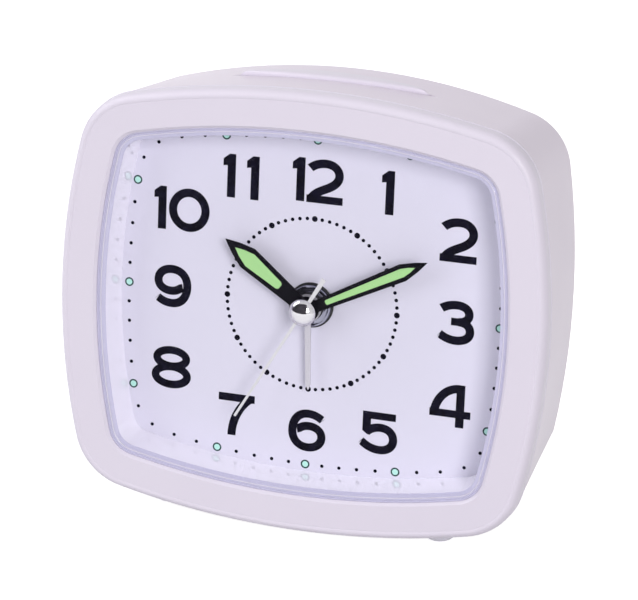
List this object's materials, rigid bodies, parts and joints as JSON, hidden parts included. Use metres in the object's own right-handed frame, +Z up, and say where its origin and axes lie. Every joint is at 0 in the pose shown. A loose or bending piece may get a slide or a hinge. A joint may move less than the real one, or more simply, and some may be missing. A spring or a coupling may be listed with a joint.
{
  "type": "quartz alarm clock",
  "caption": "Bedside quartz alarm clock with a rounded case, luminous hands, alarm hand, press bar for the light, rear setting knobs and battery bay.",
  "frame": {"origin": "centre of the bounding box on the floor plane, where the feet stand", "axes": "+X to the right as seen from the front, +Y to the rear, +Z up; the clock leans back about X"},
  "size_m": [0.108, 0.0484, 0.0972],
  "materials": {
    "case_lilac": "satin",
    "clear": "gloss",
    "light_guide": "gloss",
    "dial_face": "matte",
    "cell_label": "satin",
    "contact": "satin",
    "movement_case": "matte",
    "movement_inner": "matte",
    "rubber_washer": "matte",
    "hub_black": "gloss",
    "hand_silver": "satin",
    "hand_black": "painted satin",
    "cap_chrome": "polished",
    "steel": "satin",
    "wheel_white": "satin",
    "lume": "matte",
    "brass_pipe": "satin",
    "copper": "wound wire",
    "board": "matte",
    "lamp_clear": "gloss",
    "foot_soft": "satin"
  },
  "bodies": {
    "case": {"case_shell": "case_lilac", "bezel": "case_lilac", "crystal": "clear", "light_ring": "light_guide", "dial": "dial_face", "rear_cover": "case_lilac", "battery_cell": "cell_label", "positive_contact": "contact", "negative_contact": "contact", "movement_front": "movement_case", "movement_rear": "movement_case", "bridge": "movement_inner", "washer": "rubber_washer", "nut": "hub_black", "stator": "steel", "coil": "copper", "circuit_board": "board", "chip": "hub_black", "quartz_can": "steel", "alarm_switch": "hub_black", "buzzer": "hub_black", "light_board": "board", "light_switch": "hub_black", "lamp": "lamp_clear", "foot_front_left": "foot_soft", "foot_rear_left": "foot_soft", "foot_front_right": "foot_soft", "foot_rear_right": "foot_soft"},
    "second_hand": {"second_hand": "hand_silver", "second_cap": "cap_chrome", "second_pin": "steel", "second_wheel": "wheel_white"},
    "minute_hand": {"minute_hand": "hand_black", "minute_lume": "lume", "minute_pipe": "brass_pipe"},
    "hour_hand": {"hour_hand": "hand_black", "hour_lume": "lume", "hour_wheel": "wheel_white"},
    "alarm_hand": {"alarm_hand": "hand_silver", "alarm_wheel": "wheel_white"},
    "minute_wheel": {"minute_wheel": "wheel_white"},
    "centre_wheel": {"centre_wheel": "wheel_white"},
    "third_wheel": {"third_wheel": "wheel_white"},
    "fifth_wheel": {"fifth_wheel": "wheel_white"},
    "rotor": {"rotor": "wheel_white", "rotor_magnet": "steel"},
    "alarm_knob": {"alarm_setting_shaft": "wheel_white", "alarm_knob": "case_lilac"},
    "time_knob": {"time_setting_shaft": "wheel_white", "time_knob": "case_lilac"},
    "light_bar": {"light_bar": "case_lilac"},
    "switch_plunger": {"switch_plunger": "hub_black"},
    "alarm_slide": {"alarm_slide": "case_lilac"},
    "battery_door": {"battery_door": "case_lilac"}
  },
  "joints": [
    {"name": "rotor_turn", "type": "hinge", "parent": "case", "child": "rotor", "pos_m": [-0.00214, -0.00917, 0.03763], "axis": [0, 0.9914, -0.1305], "continuous": true},
    {"name": "fifth_wheel_turn", "type": "hinge", "parent": "case", "child": "fifth_wheel", "pos_m": [-0.0063, -0.00863, 0.04175], "axis": [0, 0.9914, -0.1305], "continuous": true},
    {"name": "second_hand_turn", "type": "hinge", "parent": "case", "child": "second_hand", "pos_m": [0, -0.00781, 0.048], "axis": [0, 0.9914, -0.1305], "continuous": true},
    {"name": "third_wheel_turn", "type": "hinge", "parent": "case", "child": "third_wheel", "pos_m": [0, -0.00663, 0.05692], "axis": [0, 0.9914, -0.1305], "continuous": true},
    {"name": "centre_wheel_turn", "type": "hinge", "parent": "case", "child": "centre_wheel", "pos_m": [0, -0.00781, 0.048], "axis": [0, 0.9914, -0.1305], "continuous": true},
    {"name": "time_knob_turn", "type": "hinge", "parent": "case", "child": "time_knob", "pos_m": [0.012, -0.00781, 0.048], "axis": [0, 0.9914, -0.1305], "continuous": true},
    {"name": "minute_hand_turn", "type": "hinge", "parent": "case", "child": "minute_hand", "pos_m": [0, -0.00781, 0.048], "axis": [0, 0.9914, -0.1305], "continuous": true},
    {"name": "minute_wheel_turn", "type": "hinge", "parent": "case", "child": "minute_wheel", "pos_m": [0.006, -0.00833, 0.04405], "axis": [0, 0.9914, -0.1305], "continuous": true},
    {"name": "hour_hand_turn", "type": "hinge", "parent": "case", "child": "hour_hand", "pos_m": [0, -0.00781, 0.048], "axis": [0, 0.9914, -0.1305], "continuous": true},
    {"name": "alarm_knob_turn", "type": "hinge", "parent": "case", "child": "alarm_knob", "pos_m": [-0.012, -0.00781, 0.048], "axis": [0, 0.9914, -0.1305], "continuous": true},
    {"name": "alarm_hand_turn", "type": "hinge", "parent": "case", "child": "alarm_hand", "pos_m": [0, -0.00781, 0.048], "axis": [0, 0.9914, -0.1305], "continuous": true},
    {"name": "light_bar_press", "type": "slide", "parent": "case", "child": "light_bar", "axis": [0, -0.1305, -0.9914], "range_m": [0, 0.0008], "stiffness_N_per_m": 400, "springref_m": -0.0008},
    {"name": "switch_plunger_press", "type": "slide", "parent": "case", "child": "switch_plunger", "axis": [0, -0.1305, -0.9914], "range_m": [0, 0.0008]},
    {"name": "alarm_switch_slide", "type": "slide", "parent": "case", "child": "alarm_slide", "axis": [1, 0, 0], "range_m": [0, 0.004]},
    {"name": "battery_door_swing", "type": "hinge", "parent": "case", "child": "battery_door", "pos_m": [0, 0.01204, 0.00721], "axis": [-1, 0, 0], "range_deg": [0, 80]}
  ],
  "couplings": [
    {"joint": "fifth_wheel_turn", "follows": "rotor_turn", "ratio": -0.16667},
    {"joint": "second_hand_turn", "follows": "rotor_turn", "ratio": 0.033333},
    {"joint": "third_wheel_turn", "follows": "rotor_turn", "ratio": -0.0041667},
    {"joint": "centre_wheel_turn", "follows": "rotor_turn", "ratio": 0.00055556},
    {"joint": "minute_wheel_turn", "follows": "time_knob_turn", "ratio": -0.33333},
    {"joint": "hour_hand_turn", "follows": "time_knob_turn", "ratio": 0.083333},
    {"joint": "minute_hand_turn", "follows": "time_knob_turn", "ratio": 1},
    {"joint": "alarm_hand_turn", "follows": "alarm_knob_turn", "ratio": -1},
    {"joint": "switch_plunger_press", "follows": "light_bar_press", "ratio": 1}
  ]
}
